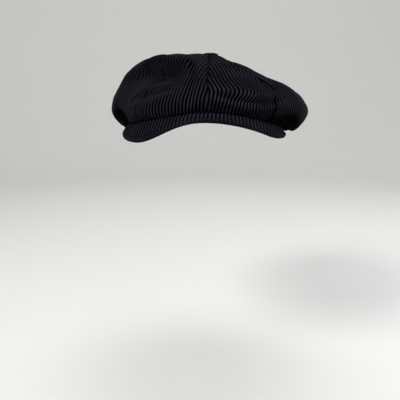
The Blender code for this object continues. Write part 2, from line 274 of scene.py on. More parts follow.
def visor_frame(turn, share):
    """Point, upward normal and outward direction of the visor's middle surface."""
    step = VISOR_SLOPE_STEP
    inner, outer = np.maximum(share - step, 0.0), np.minimum(share + step, 1.0)
    before, after = np.maximum(turn - step, -1.0), np.minimum(turn + step, 1.0)
    outward = unit(visor_middle(turn, outer) - visor_middle(turn, inner))
    along = visor_middle(after, share) - visor_middle(before, share)
    return visor_middle(turn, share), unit(np.cross(outward, along)), outward


VISOR_TURNS = np.linspace(-1, 1, VISOR_COLUMNS + 1)


def visor_sheet(height, inset):
    """Grid parallel to the board's middle, rows from the sewn edge out to the edge less an inset."""
    share, turn = np.meshgrid(np.linspace(0, 1, VISOR_ROWS + 1), VISOR_TURNS, indexing="ij")
    point, normal, outward = visor_frame(turn, share)
    return point + normal * height - outward * (inset * share)[..., None]


def visor_roll():
    """Grid that carries the top cover round the board's edge, and a little way in underneath."""
    point, normal, outward = visor_frame(VISOR_TURNS, np.ones(VISOR_COLUMNS + 1))
    angle = math.pi * np.arange(1, EDGE_STEPS + 1) / EDGE_STEPS
    out, up = EDGE_RADIUS * (np.sin(angle) - 1.0), EDGE_RADIUS * np.cos(angle)
    out = np.concatenate((out, [-EDGE_RADIUS - 0.5 * HEM_UNDER, -EDGE_RADIUS - HEM_UNDER]))
    up = np.concatenate((up, [-EDGE_RADIUS, -EDGE_RADIUS + HEM_UNDER_RISE]))
    return point + outward * out[:, None, None] + normal * up[:, None, None]


REST_CELL = 1.5 * MM
REST_GAP = 0.9 * MM
REST_SOFTNESS = 0.8 * MM  # how gently the crown comes to rest on the visor
REST_DEPTH = 15.0 * MM  # cloth further below the visor stays where it is
NO_VISOR = -1.0  # height of a cell with no visor in it


def visor_heights(rows=240, columns=700):
    """Height of the visor's top in square cells seen from above, with the first cell's corner."""
    share, turn = np.meshgrid(np.linspace(0, 1, rows), np.linspace(-1, 1, columns), indexing="ij")
    point, normal = visor_frame(turn, share)[:2]
    top = (point + normal * EDGE_RADIUS).reshape(-1, 3)
    corner = top[:, :2].min(axis=0)
    cell = ((top[:, :2] - corner) / REST_CELL).astype(int)
    heights = np.full(cell.max(axis=0) + 1, NO_VISOR)
    np.maximum.at(heights, (cell[:, 0], cell[:, 1]), top[:, 2])
    return heights, corner


VISOR_HEIGHTS, VISOR_CORNER = visor_heights()


def rest_on_visor(grid):
    """Lifts points of a grid that would sink into the visor, so that they lie on it."""
    place = (grid[..., :2] - VISOR_CORNER) / REST_CELL - 0.5
    limit = np.array(VISOR_HEIGHTS.shape) - 2
    cell = np.clip(np.floor(place).astype(int), 0, limit)
    part = np.clip(place - cell, 0.0, 1.0)
    i, j = cell[..., 0], cell[..., 1]
    corners = [VISOR_HEIGHTS[i + di, j + dj] for di in (0, 1) for dj in (0, 1)]
    over = np.min(corners, axis=0) > 0.5 * NO_VISOR
    u, v = part[..., 0], part[..., 1]
    near_row = corners[0] * (1 - v) + corners[1] * v
    far_row = corners[2] * (1 - v) + corners[3] * v
    clear = grid[..., 2] - near_row * (1 - u) - far_row * u - REST_GAP
    lift = 0.5 * (np.hypot(clear, REST_SOFTNESS) - clear)
    inside = (place > -0.5).all(axis=-1) & (place < limit + 1).all(axis=-1)
    rested = grid.copy()
    rested[..., 2] += np.where(over & inside & (clear > -REST_DEPTH), lift, 0.0)
    return rested


# ---- folds

RIM_REACH = 0.100  # metres of cloth to a radian of azimuth

# Creases: line of (azimuth in degrees, share), depth and half width in millimetres.
CREASES = (
    (((-13, 0.390), (-10, 0.450), (-8, 0.520), (-9, 0.620), (-8, 0.690)), 2.6, 4.2),
    (((-42, 0.645), (-31, 0.645), (-21, 0.620)), 2.8, 3.6),
    (((22, 0.340), (31, 0.400), (37, 0.470), (40, 0.540)), 3.2, 5.0),
    (((7, 0.655), (15, 0.677), (24, 0.684), (32, 0.672), (40, 0.640)), 2.8, 3.8),
    (((76, 0.420), (88, 0.500), (104, 0.560)), 2.8, 7.0),
    (((112, 0.480), (126, 0.570), (146, 0.600)), 3.2, 7.0),
    (((160, 0.440), (176, 0.530), (198, 0.560)), 3.0, 8.0),
    (((212, 0.560), (228, 0.540), (242, 0.450)), 3.2, 7.0),
    (((252, 0.600), (268, 0.560), (282, 0.545)), 3.0, 6.5),
    (((150, 0.250), (158, 0.360), (172, 0.420)), 2.0, 7.0),
)

# Puffs: azimuth in degrees, share, half width and half length in millimetres, height in them too.
PUFFS = (
    (-74, 0.640, 22, 22, 1.8),
    (-96, 0.700, 20, 14, 3.0),
    (-42, 0.735, 14, 10, 2.4),
    (20, 0.560, 18, 18, 1.6),
    (56, 0.560, 22, 20, 2.5),
    (66, 0.700, 24, 18, 2.0),
    (80, 0.560, 24, 16, 3.2),
    (128, 0.470, 26, 24, 3.0),
    (184, 0.450, 30, 24, 2.6),
    (236, 0.480, 26, 24, 3.0),
    (96, 0.680, 26, 22, 2.2),
    (200, 0.680, 34, 24, 2.4),
    (150, 0.690, 30, 22, 2.0),
    (262, 0.680, 26, 22, 2.0),
)

# Hollows above the visor's two ends, given like the puffs; painted shade darkens their pile.
HOLLOWS = (
    (-65, 0.706, 14, 9, -11.0),
    (-79, 0.730, 16, 9, -3.0),
    (-55, 0.742, 9, 7, -3.0),
    (55, 0.748, 16, 8, -10.0),
    (43, 0.768, 14, 5, -2.5),
    (66, 0.772, 14, 7, -3.0),
)
PAINTED_HOLLOW_SHADE = 0.92
HOLLOW_SPREAD = 1.15  # the painted shadow is a little wider than the hollow

# A low lip stands on both sides of a crease: its height in shares of the crease's depth, and its
# distance and half width in shares of the crease's half width.
CREASE_LIP = (0.35, 1.9, 0.9)
SLOW_HEIGHT = 0.80 * MM
QUICK_HEIGHT = 0.28 * MM

# The folds start and end between these shares; over the visor's seat they end sooner.
FOLDS_START = (0.04, 0.22)
FOLDS_END = {"seat": 0.72, "free": 0.80}
FOLDS_FADE = 0.13
SEAT_TURN = math.radians(75.0)

# The front left of the crown lies in two tiers, with a crease between them: how far the cloth
# moves outward and up, in millimetres, and round to the right, in degrees, at even steps of share.
TIER_SHARES = (0.22, 0.82)
TIER = (
    (0.0, 0.5, 0.0), (0.0, 2.5, 0.0), (0.0, 5.0, 0.0), (0.0, 7.5, 0.0),
    (-0.5, 9.0, 0.0), (-2.5, 9.0, 0.0), (-7.0, 6.2, 1.0), (-12.0, 1.2, 5.5),
    (-11.0, 1.6, 8.5), (-7.0, 2.6, 6.8), (-3.0, 2.6, 3.8), (-0.5, 1.2, 1.0),
    (0.0, 0.0, -1.0), (0.0, 0.0, -1.5), (0.0, 0.0, -0.8), (0.0, 0.0, 0.0),
)
TIER_START = (math.radians(-66.0), math.radians(-42.0))
TIER_END = (math.radians(-24.0), math.radians(-10.0))
ROUND_END = (math.radians(-36.0), math.radians(-6.0))

# The same folds pull the cloth round sideways: azimuth in degrees, share, half width in degrees,
# half length as a share, and the pull in degrees.
PULLS = (
    (36, 0.460, 18, 0.080, 2.0),
    (22, 0.615, 16, 0.055, 4.5),
    (120, 0.500, 24, 0.090, -3.0),
    (205, 0.480, 26, 0.100, 3.0),
    (262, 0.520, 20, 0.080, -2.5),
)
BUTTON_SEAT = 3.2 * MM  # the tips of the panels swell up to the button
BUTTON_SEAT_SHARES = (0.03, 0.13)
SEAM_PULL = 2.6 * MM
SEAM_PULL_POWER = 5
SEAM_STRENGTH = (1.0, 0.8, 1.0, 1.0, 1.0, 1.0, 1.0, 0.35)  # from the front one round to the right
SEAM_RELAX = (0.50, 0.66)  # the seams lie half as deep below these shares
FRONT_ROLL = 0.2  # the front seam's strength where the cloth rolls over
FRONT_ROLL_SHARES = (0.54, 0.64)
rng = np.random.default_rng(8)


def wave_set(wavelength, count=14):
    """Random directions and phases of the waves that make an even, smooth roughness."""
    direction = unit(rng.normal(size=(count, 3)))
    wavelengths = wavelength * rng.uniform(0.75, 1.4, (count, 1))
    return direction * math.tau / wavelengths, rng.uniform(0, math.tau, count)


SLOW_WAVES = wave_set(46 * MM)
QUICK_WAVES = wave_set(19 * MM)


def waves(point, wave):
    direction, phase = wave
    return np.sin(point @ direction.T + phase).sum(axis=1) / math.sqrt(len(phase))


def crease_distance(azimuth, share, line):
    """Distance from a crease line on the cloth, in metres."""
    across, down = azimuth * RIM_REACH, share * CROWN_LENGTH
    best = np.full(azimuth.shape, 1.0)
    points = [np.array((math.radians(degrees) * RIM_REACH, place * CROWN_LENGTH)) for degrees, place in line]
    for start, end in zip(points, points[1:]):
        step = end - start
        t = ((across - start[0]) * step[0] + (down - start[1]) * step[1]) / (step @ step)
        t = np.clip(t, 0.0, 1.0)
        best = np.minimum(best, np.hypot(across - start[0] - step[0] * t, down - start[1] - step[1] * t))
    return best


def bulge(azimuth, share, turn, place, half_width, half_length):
    """Round bulge on the cloth: 1 at its middle, 0 well away from it."""
    across = wrapped(azimuth - math.radians(turn)) * RIM_REACH / (half_width * MM)
    down = (share - place) * CROWN_LENGTH / (half_length * MM)
    return np.exp(-(across ** 2 + down ** 2))


def painted_hollow_shade(azimuth, share):
    """Painted shade on the pile: 1 in the open, nearly 0 in the hollows."""
    depth = sum(bulge(azimuth, share, *row[:4]) for row in HOLLOWS)
    return 1.0 - PAINTED_HOLLOW_SHADE * np.minimum(HOLLOW_SPREAD * depth, 1.0)


def fold_height(azimuth, share, point):
    """How far the draped cloth stands off the smooth crown, in metres."""
    height = np.zeros(azimuth.shape)
    lip, lip_place, lip_width = CREASE_LIP
    for line, depth, width in CREASES:
        middle = math.radians(0.5 * (line[0][0] + line[-1][0]))
        near = middle + wrapped(azimuth - middle)
        away = crease_distance(near, share, line) / (width * MM)
        beside = lip * np.exp(-((away - lip_place) / lip_width) ** 2)
        height += depth * MM * (beside - np.exp(-away ** 2))
    for turn, place, half_width, half_length, rise in PUFFS + HOLLOWS:
        height += rise * MM * bulge(azimuth, share, turn, place, half_width, half_length)
    height += SLOW_HEIGHT * waves(point, SLOW_WAVES) + QUICK_HEIGHT * waves(point, QUICK_WAVES)
    foot = np.where(np.abs(wrapped(azimuth)) < SEAT_TURN, FOLDS_END["seat"], FOLDS_END["free"])
    held = ramp(share, *FOLDS_START) * (1.0 - ramp(share, foot, foot + FOLDS_FADE))
    return height * held


def tier_values(azimuth, share, end):
    """The two tiers' shifts at the front left, which fade out to the right between two azimuths."""
    turn = wrapped(azimuth)
    strength = ramp(turn, *TIER_START) * (1.0 - ramp(turn, *end))
    low, high = TIER_SHARES
    along = (share - low) / (high - low)
    table = np.repeat(np.array(TIER)[:, None], len(share), axis=1)
    return spline(table, along) * (strength * ((along > 0.0) & (along < 1.0)))[:, None]


def tier_shift(azimuth, share):
    """How far the cloth moves outward and up, in metres, in the two tiers and at the button."""
    shift = tier_values(azimuth, share, TIER_END)[:, :2] * MM
    shift[:, 1] += BUTTON_SEAT * (1.0 - ramp(share, *BUTTON_SEAT_SHARES))
    return shift


def grid_normals(grid):
    """Unit normals of a grid of points: rows run down, columns towards +azimuth."""
    return unit(np.cross(*np.gradient(grid, axis=(0, 1))))


def pulled(turn, share):
    """Azimuth of the cloth at a turn, after the folds have pulled it sideways."""
    azimuth = seam_azimuth(turn)
    pull = np.radians(tier_values(azimuth, share, ROUND_END)[:, 2])
    for middle, place, half_turn, half_share, degrees in PULLS:
        across = wrapped(azimuth - math.radians(middle)) / math.radians(half_turn)
        down = (share - place) / half_share
        pull += math.radians(degrees) * np.exp(-(across ** 2 + down ** 2))
    return azimuth + pull


def seam_strength(turn, share):
    """How deep the seam nearest to a turn lies: 0 flush, 1 deep."""
    seam = np.round(turn / PANEL_ANGLE).astype(int) % len(SIDES)
    front = 1.0 - (1.0 - FRONT_ROLL) * ramp(share, *FRONT_ROLL_SHARES)
    return np.where(seam == 0, front, np.take(SEAM_STRENGTH, seam))


def draped_crown(turns, shares):
    """Smooth and folded crown on a grid of shares by turns, and the painted shade on its pile."""
    grid = np.meshgrid(shares, turns, indexing="ij")
    share, cloth = (values.ravel() for values in grid)
    shape = grid[0].shape + (3,)
    azimuth = pulled(cloth, share)
    flat = smooth_crown(azimuth, share)
    near_seam = np.abs(np.cos(0.5 * len(SIDES) * cloth)) ** SEAM_PULL_POWER
    seam = SEAM_PULL * near_seam * np.sin(math.pi * share)
    seam *= seam_strength(cloth, share) * (1.0 - 0.5 * ramp(share, *SEAM_RELAX))
    shift = tier_shift(azimuth, share)
    tiered = (flat + polar_points(azimuth, *shift.T)).reshape(shape)
    height = (fold_height(azimuth, share, flat) - seam).reshape(shape[:2])
    folded = rest_on_visor(tiered + grid_normals(tiered) * height[:, :, None])
    # painted shade for the pile in the hollows
    painted_shade = painted_hollow_shade(azimuth, share).reshape(shape[:2])
    return smooth_crown(seam_azimuth(cloth), share).reshape(shape), folded, painted_shade


# ---- meshes

def new_object(name, data):
    obj = bpy.data.objects.new(name, data)
    bpy.context.scene.collection.objects.link(obj)
    return obj


def new_mesh(name, points, faces, look):
    mesh = bpy.data.meshes.new(name)
    mesh.from_pydata([tuple(point) for point in points], [], faces)
    mesh.shade_smooth()
    mesh.materials.append(look)
    return mesh


def add_piece(name, points, faces, look, values=None):
    """New object from points and faces; values are named numbers, one to a point."""
    mesh = new_mesh(name, points, faces, look)
    for title, numbers in (values or {}).items():
        kind, key = ("FLOAT_VECTOR", "vector") if np.ndim(numbers) == 2 else ("FLOAT", "value")
        layer = mesh.attributes.new(title, kind, "POINT")
        layer.data.foreach_set(key, np.asarray(numbers, dtype=np.float32).ravel())
    mesh.update()
    obj = new_object(name, mesh)
    return obj


def grid_faces(rows, columns, first=0, flip=False, closed=False):
    """Quads of a grid whose points are numbered row by row."""
    faces = []
    for row in range(rows - 1):
        for column in range(columns if closed else columns - 1):
            a = first + row * columns + column
            b = first + row * columns + (column + 1) % columns
            quad = (a, a + columns, b + columns, b)
            faces.append(quad[::-1] if flip else quad)
    return faces


def shell(fine, coarse, step_rows, step_columns):
    """Closed shell from a fine outer grid and a coarse inner one that shares its corners' spacing."""
    points = np.concatenate((fine.reshape(-1, 3), coarse.reshape(-1, 3)))
    base = fine.shape[0] * fine.shape[1]
    outer = np.arange(base).reshape(fine.shape[:2])
    inner = np.arange(base, len(points)).reshape(coarse.shape[:2])
    faces = grid_faces(*outer.shape) + grid_faces(*inner.shape, base, flip=True)
    borders = (
        (outer[::-1, 0], inner[::-1, 0], step_rows),
        (outer[:, -1], inner[:, -1], step_rows),
        (outer[0], inner[0], step_columns),
        (outer[-1, ::-1], inner[-1, ::-1], step_columns),
    )
    for fine_line, coarse_line, step in borders:
        for index in range(len(coarse_line) - 1):
            run = fine_line[index * step:(index + 1) * step + 1]
            faces.append([*run.tolist(), int(coarse_line[index + 1]), int(coarse_line[index])])
    return points, faces


def fasten(piece, follows_visor):
    """Attaches the piece to the crown, or, if follows_visor, only bakes its transform and leaves it
    unattached.
    """
    if follows_visor:
        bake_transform(piece)
    else:
        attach(piece, "crown")


# ---- materials

class Look:
    """A material with a Principled shader, and short ways to make the nodes that feed it."""

    def __init__(self, name, roughness, metallic=0.0, specular=0.5):
        self.data = bpy.data.materials.new(name)
        self.data.use_nodes = True
        self.tree = self.data.node_tree
        self.shader = self.tree.nodes["Principled BSDF"]
        self.set("Roughness", roughness)
        self.set("Metallic", metallic)
        self.set("Specular IOR Level", specular)

    def feed(self, socket, value):
        """Link another node's output to a socket, or give it a plain value."""
        if isinstance(value, bpy.types.NodeSocket):
            self.tree.links.new(value, socket)
        else:
            socket.default_value = value

    def set(self, title, value):
        self.feed(self.shader.inputs[title], value)

    def new(self, kind):
        return self.tree.nodes.new("ShaderNode" + kind)

    def wired(self, node, output, inputs):
        """Feed a node's inputs, given as (socket, value) pairs, and return one of its outputs."""
        for socket, value in inputs:
            self.feed(node.inputs[socket], value)
        return node.outputs[output]

    def place(self):
        return self.new("TexCoord").outputs["Object"]

    def attribute(self, name, output="Fac"):
        node = self.new("Attribute")
        node.attribute_name = name
        return node.outputs[output]

    def noise(self, scale, detail=3.0, vector=None, roughness=0.55):
        vector = self.place() if vector is None else vector
        return self.wired(self.new("TexNoise"), "Fac", (
            ("Scale", scale), ("Detail", detail), ("Roughness", roughness), ("Vector", vector)))

    def grain(self, vector, scale, detail):
        """Noise stretched to a scale along each axis of a vector."""
        node = self.new("VectorMath")
        node.operation = "MULTIPLY"
        return self.noise(1.0, detail, self.wired(node, "Vector", ((0, vector), (1, scale))))

    def mixed(self, factor, low, high):
        """Colour between low and high; either may be a colour or another node's output."""
        node = self.new("Mix")
        node.data_type = "RGBA"
        return self.wired(node, "Result", (("Factor", factor), ("A", low), ("B", high)))

    def ranged(self, value, low, high, to_low=0.0, to_high=1.0):
        return self.wired(self.new("MapRange"), "Result", (
            ("Value", value), ("From Min", low), ("From Max", high), ("To Min", to_low), ("To Max", to_high)))

    def maths(self, operation, a, b):
        node = self.new("Math")
        node.operation = operation
        return self.wired(node, "Value", ((0, a), (1, b)))

    def finished(self, colour, roughness, height, relief, strength):
        """The material, once its colour, roughness and fine relief are in place."""
        self.set("Base Color", colour)
        self.set("Roughness", roughness)
        self.set("Normal", self.wired(self.new("Bump"), "Normal", (
            ("Strength", strength), ("Distance", relief), ("Height", height))))
        return self.data


# The lighter ridge tone stands partly for wear and partly for painted highlight on the crown's rim and the
# visor.
RIDGE = (0.0074, 0.0071, 0.0105, 1.0)
RIDGE_WORN_AND_LIT = (0.0235, 0.0228, 0.0305, 1.0)
GROOVE = (0.0003, 0.0003, 0.0006, 1.0)
NAP_TINT = (0.80, 0.82, 1.0, 1.0)
NAP_ROUGHNESS = 0.45
RUBBED_AND_LIT = (0.110, 0.138)  # metres down from the button to the rim; the ridge tops past it are worn and painted lighter
RIM_WEAR_AND_LIGHT = 0.75
FIBRE_GRAIN = (3200.0, 900.0, 1.0)  # noise cells to a metre, across and along the wale
TUFT_GRAIN = (500.0, 1500.0, 1.0)
PILE_SHOWS = (0.40, 0.85)  # pile below this is groove, and above it ridge


def corduroy(name, sheen, wear_and_light):
    """Cut-pile wales: pale tops, dark channels, short fibres that lie along the wale.

    The last argument makes the tops lighter all over, partly as wear and partly as painted highlight; the
    crown's rim is made lighter still in the same way.
    """
    look = Look(name, roughness=0.92, specular=0.0)
    look.set("Sheen Weight", sheen)
    look.set("Sheen Roughness", NAP_ROUGHNESS)
    look.set("Sheen Tint", NAP_TINT)
    cloth = look.attribute("cloth", "Vector")
    fibre = look.grain(cloth, FIBRE_GRAIN, 4.0)
    tuft = look.grain(cloth, TUFT_GRAIN, 2.0)
    down = look.wired(look.new("SeparateXYZ"), "Y", (("Vector", cloth),))
    # painted highlight mixed with wear: the ridge tops grow lighter towards the crown's rim
    rubbed_and_lit = look.ranged(down, *RUBBED_AND_LIT, wear_and_light, RIM_WEAR_AND_LIGHT)
    cloudy = look.ranged(look.noise(46.0), 0.42, 0.72, 0.0, 0.45)
    top = look.mixed(look.maths("ADD", rubbed_and_lit, cloudy), RIDGE, RIDGE_WORN_AND_LIT)
    worn_and_lit = look.mixed(look.ranged(fibre, 0.25, 0.75, 0.55, 1.30), GROOVE, top)
    tufted = look.maths("MULTIPLY", look.attribute("pile"), look.ranged(tuft, 0.2, 0.8, 0.75, 1.2))
    colour = look.mixed(look.ranged(tufted, *PILE_SHOWS), GROOVE, worn_and_lit)
    fuzz = look.maths("ADD", fibre, look.maths("MULTIPLY", tuft, 0.8))
    return look.finished(colour, look.ranged(fibre, 0.2, 0.8, 0.84, 1.0), fuzz, 0.35 * MM, 0.6)


SATIN_TONES = ((0.016, 0.016, 0.022, 1.0), (0.026, 0.026, 0.036, 1.0), (0.040, 0.040, 0.055, 1.0))
SATIN_GRAIN = (900.0, 2600.0, 1500.0)


def satin(name):
    """Lining: smooth, slightly glossy, with a faint twill."""
    look = Look(name, roughness=0.38, specular=0.45)
    deep, plain_tone, bright = SATIN_TONES
    weave = look.grain(look.place(), SATIN_GRAIN, 2.0)
    tone = look.mixed(look.ranged(look.noise(30.0), 0.3, 0.7), deep, plain_tone)
    colour = look.mixed(look.ranged(weave, 0.35, 0.65, 0.0, 0.35), tone, bright)
    return look.finished(colour, look.ranged(weave, 0.2, 0.8, 0.30, 0.46), weave, 0.12 * MM, 0.5)


def woven(name, low, high, scale, roughness, relief):
    """Plain woven tape or cloth: two sets of threads across each other."""
    look = Look(name, roughness=roughness, specular=0.25)
    place = look.place()
    warp = look.grain(place, (scale, scale, 0.25 * scale), 1.0)
    weft = look.grain(place, (0.25 * scale, 0.25 * scale, scale), 1.0)
    threads = look.maths("MAXIMUM", warp, weft)
    tone = look.mixed(look.ranged(threads, 0.35, 0.75), low, high)
    colour = look.mixed(look.ranged(look.noise(60.0), 0.2, 0.8, 0.0, 0.4), tone, low)
    rough = look.ranged(threads, 0.3, 0.8, roughness, roughness - 0.12)
    return look.finished(colour, rough, threads, relief, 0.7)


def fibrous(name, low, high, scale, roughness, relief):
    """Felt, board or thread: matted fibres."""
    look = Look(name, roughness=roughness, specular=0.1)
    fibre = look.noise(scale, 5.0, roughness=0.7)
    colour = look.mixed(look.ranged(fibre, 0.3, 0.7), low, high)
    rough = look.ranged(fibre, 0.2, 0.8, roughness - 0.06, roughness + 0.04)
    return look.finished(colour, rough, fibre, relief, 0.6)


def plated(name, low, high):
    """Plated steel of the button's shell."""
    look = Look(name, roughness=0.3, metallic=1.0)
    scuff = look.noise(260.0, 5.0)
    rough = look.ranged(scuff, 0.3, 0.7, 0.24, 0.44)
    return look.finished(look.mixed(scuff, low, high), rough, scuff, 0.05 * MM, 0.3)


def plain(name, colour, roughness):
    """Painted backdrop with a very faint grain."""
    look = Look(name, roughness=roughness, specular=0.2)
    darker = tuple(0.985 * value for value in colour[:3]) + (1.0,)
    look.set("Base Color", look.mixed(look.noise(90.0, 4.0), darker, colour))
    return look.data


# the visor's ridge tops are lighter all over, partly wear and partly painted highlight
CORDUROY = corduroy("Corduroy", sheen=0.022, wear_and_light=0.05)
PRESSED_CORDUROY = corduroy("Corduroy pressed over the board", sheen=0.008, wear_and_light=0.32)
SATIN = satin("Satin lining")
TWILL = woven(
    "Sweatband twill", (0.007, 0.007, 0.009, 1), (0.026, 0.026, 0.030, 1),
    scale=2400.0, roughness=0.80, relief=0.25 * MM)
CANVAS = woven(
    "Canvas stay", (0.260, 0.235, 0.185, 1), (0.470, 0.440, 0.370, 1),
    scale=1700.0, roughness=0.90, relief=0.30 * MM)
LABEL = woven(
    "Blank woven label", (0.230, 0.220, 0.200, 1), (0.400, 0.390, 0.360, 1),
    scale=3200.0, roughness=0.70, relief=0.12 * MM)
THREAD = fibrous(
    "Thread", (0.007, 0.007, 0.010, 1), (0.028, 0.028, 0.036, 1),
    scale=3000.0, roughness=0.75, relief=0.10 * MM)
FELT = fibrous(
    "Felt washer", (0.035, 0.035, 0.038, 1), (0.090, 0.090, 0.095, 1),
    scale=1400.0, roughness=0.95, relief=0.40 * MM)
BOARD = fibrous(
    "Visor board", (0.035, 0.035, 0.040, 1), (0.070, 0.070, 0.075, 1),
    scale=700.0, roughness=0.62, relief=0.15 * MM)
STEEL = plated("Plated steel", (0.44, 0.45, 0.46, 1), (0.66, 0.66, 0.67, 1))


# ---- wales

WALE_PITCH = 3.6 * MM
WALE_DEPTH = 0.95 * MM
WALE_FULLNESS = 0.90  # below 1, the wales are broader than the channels
VISOR_PITCH = 3.9 * MM
VISOR_DEPTH = 0.90 * MM
VISOR_UNDER_DEPTH = 0.55 * MM
VISOR_DRAPE = 0.10  # the cloth is longer where the visor bends down
BACK_PILE = 0.3  # the cloth's back shows no wales


def wale_profile(lateral, pitch):
    """0 in the channel to 1 on the wale; lateral 0 lies on a wale's top."""
    wave = 0.5 + 0.5 * np.cos(math.tau * lateral / pitch)
    return wave ** WALE_FULLNESS


def visor_lateral(grid):
    """Place across the visor's cloth, which bends down with the visor towards its ends."""
    across = grid[..., 0]
    return across * (1.0 + VISOR_DRAPE * (across / VISOR_HALF) ** 2)


def lateral_lengths(grid):
    """Distance along each row of a grid from its middle column, in metres."""
    length = travelled(grid, axis=1)
    return length - length[:, [grid.shape[1] // 2]]


def cloth_values(pile, lateral, along, rest):
    """What the corduroy's shader reads at each point; rest is the pile of the points past the grid."""
    cloth = np.stack((lateral, along, np.zeros(lateral.shape)), axis=2).reshape(-1, 3)
    return {
        "pile": np.concatenate((pile.ravel(), rest)),
        "cloth": np.concatenate((cloth, np.zeros((len(rest), 3)))),
    }


def add_shell(name, fine, coarse, steps, look, pile, lateral, along):
    """Corduroy piece with a fine outside and a coarse back."""
    points, faces = shell(fine, coarse, *steps)
    values = cloth_values(pile, lateral, along, np.full(len(points) - pile.size, BACK_PILE))
    return add_piece(name, points, faces, look, values)


# ---- crown

PANEL_COLUMNS = 184
PANEL_ROWS = 168
COARSE = 8  # fine steps to one step of the inner side
SEAM_DIP = 1.5 * MM
SEAM_DIP_WIDTH = 2.2 * MM
WALE_FADE = (0.2 * MM, 1.3 * MM)  # wales flatten out this close to a seam
HEM_FADE = (0.965, 0.995)  # and between these shares at the hem
PILE_SHADE = 0.25  # the pile is pressed dark along the seams


def build_panel(index, side):
    start, end = index * PANEL_ANGLE, (index + 1) * PANEL_ANGLE
    step = (end - start) / PANEL_COLUMNS
    turns = np.linspace(start - step, end + step, PANEL_COLUMNS + 3)
    shares = np.linspace(0.0, 1.0, PANEL_ROWS + 1)
    smooth, folded, painted_shade = draped_crown(turns, shares)
    normal = grid_normals(folded)
    smooth, folded, normal, painted_shade = (grid[:, 1:-1] for grid in (smooth, folded, normal, painted_shade))
    lateral = lateral_lengths(smooth)
    to_seam = np.minimum(lateral - lateral[:, :1], lateral[:, -1:] - lateral)
    wale = wale_profile(lateral, WALE_PITCH)
    strength = seam_strength(*np.meshgrid(turns[1:-1], shares))
    open_wale = 1.0 - strength * (1.0 - ramp(to_seam, *WALE_FADE))
    dip = SEAM_DIP * np.exp(-(to_seam / SEAM_DIP_WIDTH) ** 2) * ramp(shares, 0.0, 0.06)[:, None]
    dip *= strength
    relief = WALE_DEPTH * (wale * open_wale - 0.5) - dip
    calm = 1.0 - ramp(shares, *HEM_FADE)[:, None]
    fine = folded + normal * relief[:, :, None] * calm[:, :, None]
    # the pile is darkened by painted shade in the hollows
    pile = wale * (PILE_SHADE + (1.0 - PILE_SHADE) * open_wale) * painted_shade
    back = (folded - normal * CLOTH)[::COARSE, ::COARSE]
    along = np.broadcast_to((shares * CROWN_LENGTH)[:, None], lateral.shape)
    panel = add_shell(
        "corduroy_panel_" + side, fine, back, (COARSE, COARSE), CORDUROY, pile, lateral, along)
    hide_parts("crown_panel_" + side)
    fasten(panel, "front" in side)


for index, side in enumerate(SIDES):
    build_panel(index, side)


# ---- visor

BACK_STEPS = (2, COARSE // 2)  # fine steps to one step of the visor's backs
TOP_THICKNESS = 1.2 * MM
ROOT_FADE = 1.5 * MM  # the wales rise over this much from the sewn edge
STITCH_GROOVE = 0.8 * MM  # half width of the groove that the stitches pull
STITCH_PULL = 0.9 * MM
BEAD_RISE = 0.35 * MM  # the cloth outside the stitches stands this high
BEAD_PILE = 0.55
UNDER_INSET = 4.4 * MM  # from the outer edge to the under cover's
UNDER_HEIGHT = -1.9 * MM  # from the board's middle to the under cover's
UNDER_INSIDE = 0.3 * MM
UNDER_OUTSIDE = 0.8 * MM
UNDER_LENGTH = 50.0 * MM  # its cloth from the sewn edge outwards


def build_top_cover():
    grid = np.concatenate((visor_sheet(EDGE_RADIUS, EDGE_RADIUS), visor_roll()))
    normal = grid_normals(grid)
    run = travelled(grid)
    from_edge = run[VISOR_ROWS] + 0.5 * math.pi * EDGE_RADIUS - run
    wale = wale_profile(visor_lateral(grid), VISOR_PITCH)
    groove = np.exp(-((from_edge - STITCH_IN) / STITCH_GROOVE) ** 2)
    bead = ramp(from_edge, STITCH_IN, STITCH_IN - 1.0 * MM)
    relief = VISOR_DEPTH * (wale * (1.0 - 0.75 * groove) - 0.5)
    relief *= ramp(run, 0.0, ROOT_FADE) * (1.0 - 0.75 * bead)
    relief += BEAD_RISE * bead - STITCH_PULL * groove
    slow = waves(grid.reshape(-1, 3), SLOW_WAVES).reshape(relief.shape)
    relief += 0.35 * MM * slow * ramp(run, 0.0, 6.0 * MM)
    fine = grid + normal * relief[:, :, None]
    pile = np.maximum(wale * (1.0 - 0.55 * groove), BEAD_PILE * bead)
    row_step, column_step = BACK_STEPS
    rows = (len(grid) - 1) // row_step * row_step + 1
    back = (grid - normal * TOP_THICKNESS)[:rows:row_step, ::column_step]
    cover = add_shell(
        "corduroy_visor_top", fine[:rows], back, BACK_STEPS, PRESSED_CORDUROY,
        pile[:rows], grid[:rows, :, 0], run[:rows])
    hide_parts("visor_top_cover")
    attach(cover, "visor")


def build_under_cover():
    grid = visor_sheet(UNDER_HEIGHT, UNDER_INSET)
    normal = grid_normals(grid)
    wale = wale_profile(visor_lateral(grid), VISOR_PITCH)
    rows = np.linspace(0, 1, VISOR_ROWS + 1)[:, None]
    calm = ramp(rows, 0.0, 0.06) * (1.0 - ramp(rows, 0.86, 0.96))
    inside = grid + normal * UNDER_INSIDE
    outside = grid - normal * (UNDER_OUTSIDE + VISOR_UNDER_DEPTH * (wale - 0.5) * calm)[:, :, None]
    fine = outside[:, ::-1]
    row_step, column_step = BACK_STEPS
    back = inside[:, ::-1][::row_step, ::column_step]
    along = np.broadcast_to(rows * UNDER_LENGTH, wale.shape)
    cover = add_shell(
        "corduroy_visor_under", fine, back, BACK_STEPS, PRESSED_CORDUROY,
        wale[:, ::-1], fine[:, :, 0], along)
    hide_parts("visor_under_cover")
    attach(cover, "visor")


build_top_cover()
build_under_cover()


# ---- button

